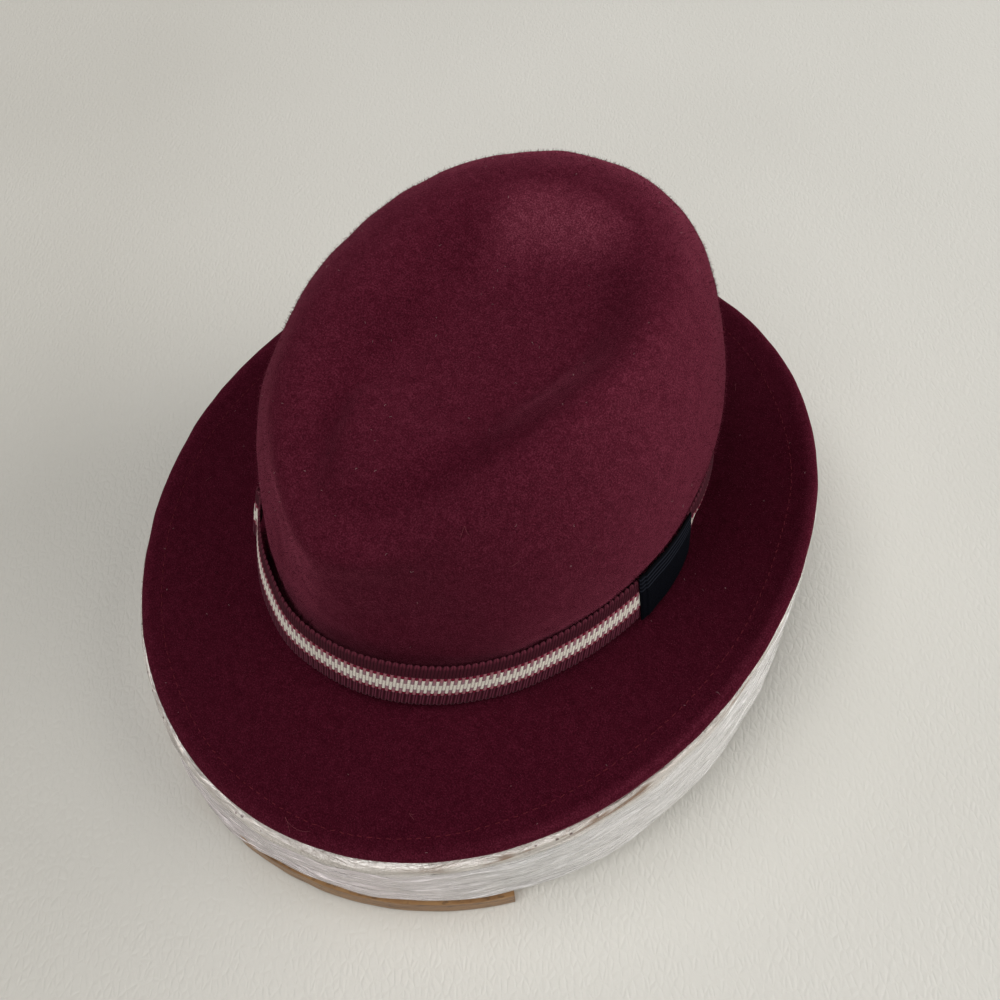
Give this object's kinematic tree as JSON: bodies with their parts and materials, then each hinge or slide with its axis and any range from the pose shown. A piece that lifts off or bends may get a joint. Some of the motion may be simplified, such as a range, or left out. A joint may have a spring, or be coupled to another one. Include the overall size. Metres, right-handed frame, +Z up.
{
  "type": "trilby on a brim block",
  "caption": "Felt trilby with teardrop crown, stitched snap brim and striped ribbon band, on an oval wooden brim block.",
  "frame": {"origin": "on the table, under the middle of the block's outline", "axes": "+Z up, the front of the hat faces -Y, the wearer's left is +X"},
  "size_m": [0.2622, 0.316, 0.1915],
  "materials": {
    "felt": "brushed wool felt, burgundy",
    "ribbon": "ribbed grosgrain, plum with a cream woven stripe",
    "tab": "ribbed grosgrain, black",
    "block": "wood under wrapped clear film, bare feet"
  },
  "bodies": {
    "root": {"felt_body": "felt", "ribbon_band": "ribbon", "ribbon_tab": "tab", "brim_block": "block"}
  },
  "joints": []
}
